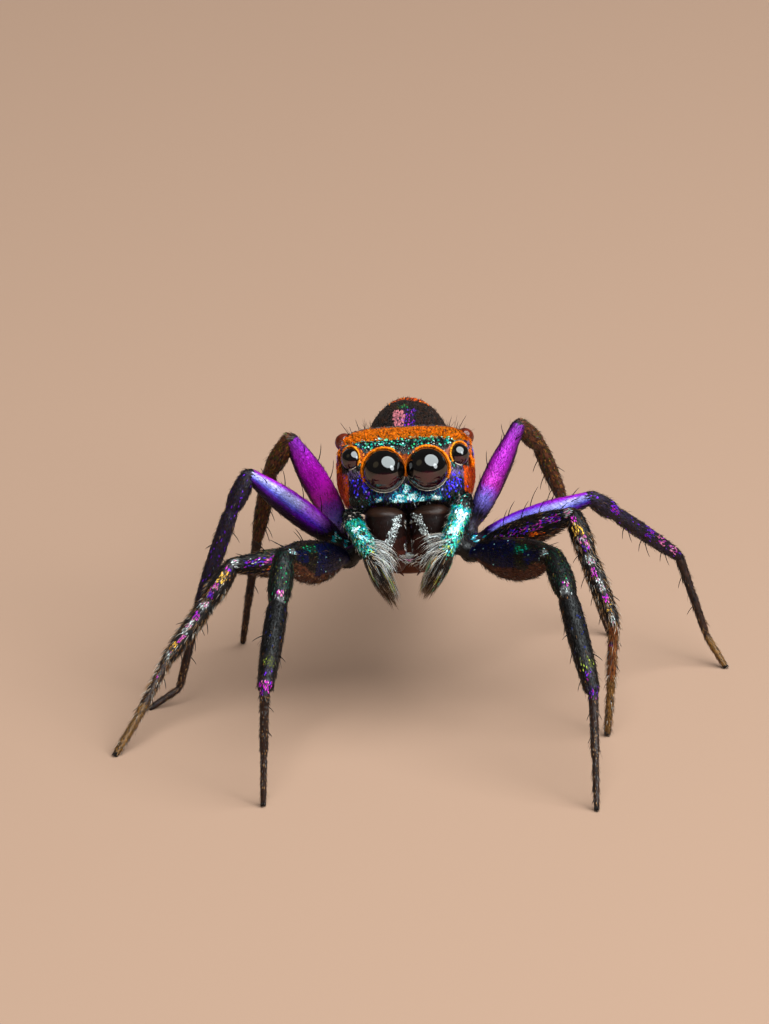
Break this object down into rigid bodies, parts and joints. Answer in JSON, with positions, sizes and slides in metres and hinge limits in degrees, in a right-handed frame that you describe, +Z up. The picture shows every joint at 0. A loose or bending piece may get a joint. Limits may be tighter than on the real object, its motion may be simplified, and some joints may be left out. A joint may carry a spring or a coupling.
{
  "type": "jumping spider model",
  "caption": "Life-size still model of a male Chrysilla volupe jumping spider, standing on small flats under its feet.",
  "frame": {"origin": "the middle of the model's footprint box, on the floor that its eight feet stand on", "axes": "+Z up, -Y the way the spider faces, +X towards its left side"},
  "size_m": [0.0076, 0.0084, 0.0037],
  "materials": {
    "carapace": "orange-red scales with blue-green iridescent bands",
    "eye": "glossy black lens",
    "rear_eye": "glossy brown lens",
    "chelicera": "glossy dark brown cuticle",
    "mouthparts": "reddish brown cuticle",
    "palp": "turquoise iridescent scales",
    "brush": "pale and dark hairs",
    "abdomen": "orange-red scales with a violet stripe",
    "front_leg": "black cuticle with green and blue sheen",
    "second_leg": "dark cuticle with magenta and gold scales",
    "rear_leg": "violet iridescent scales over dark cuticle",
    "foot": "brown hairy cuticle"
  },
  "bodies": {
    "root": {"cephalothorax": "carapace", "eye_front_middle_left": "eye", "eye_front_middle_right": "eye", "eye_front_side_left": "eye", "eye_front_side_right": "eye", "eye_small_left": "rear_eye", "eye_small_right": "rear_eye", "eye_rear_side_left": "rear_eye", "eye_rear_side_right": "rear_eye", "chelicera_left": "chelicera", "chelicera_right": "chelicera", "mouthparts": "mouthparts", "palp_left_femur": "palp", "palp_left_tibia": "palp", "palp_left_cymbium": "brush", "palp_right_femur": "palp", "palp_right_tibia": "palp", "palp_right_cymbium": "brush", "waist": "abdomen", "abdomen": "abdomen", "spinnerets": "abdomen", "leg_1_left_coxa": "front_leg", "leg_1_left_femur": "front_leg", "leg_1_left_tibia": "front_leg", "leg_1_left_foot": "foot", "leg_1_right_coxa": "front_leg", "leg_1_right_femur": "front_leg", "leg_1_right_tibia": "front_leg", "leg_1_right_foot": "foot", "leg_2_left_coxa": "front_leg", "leg_2_left_femur": "second_leg", "leg_2_left_tibia": "second_leg", "leg_2_left_foot": "foot", "leg_2_right_coxa": "front_leg", "leg_2_right_femur": "second_leg", "leg_2_right_tibia": "second_leg", "leg_2_right_foot": "foot", "leg_3_left_coxa": "front_leg", "leg_3_left_femur": "rear_leg", "leg_3_left_tibia": "rear_leg", "leg_3_left_foot": "foot", "leg_3_right_coxa": "front_leg", "leg_3_right_femur": "rear_leg", "leg_3_right_tibia": "rear_leg", "leg_3_right_foot": "foot", "leg_4_left_coxa": "front_leg", "leg_4_left_femur": "rear_leg", "leg_4_left_tibia": "rear_leg", "leg_4_left_foot": "foot", "leg_4_right_coxa": "front_leg", "leg_4_right_femur": "rear_leg", "leg_4_right_tibia": "rear_leg", "leg_4_right_foot": "foot"}
  },
  "joints": []
}
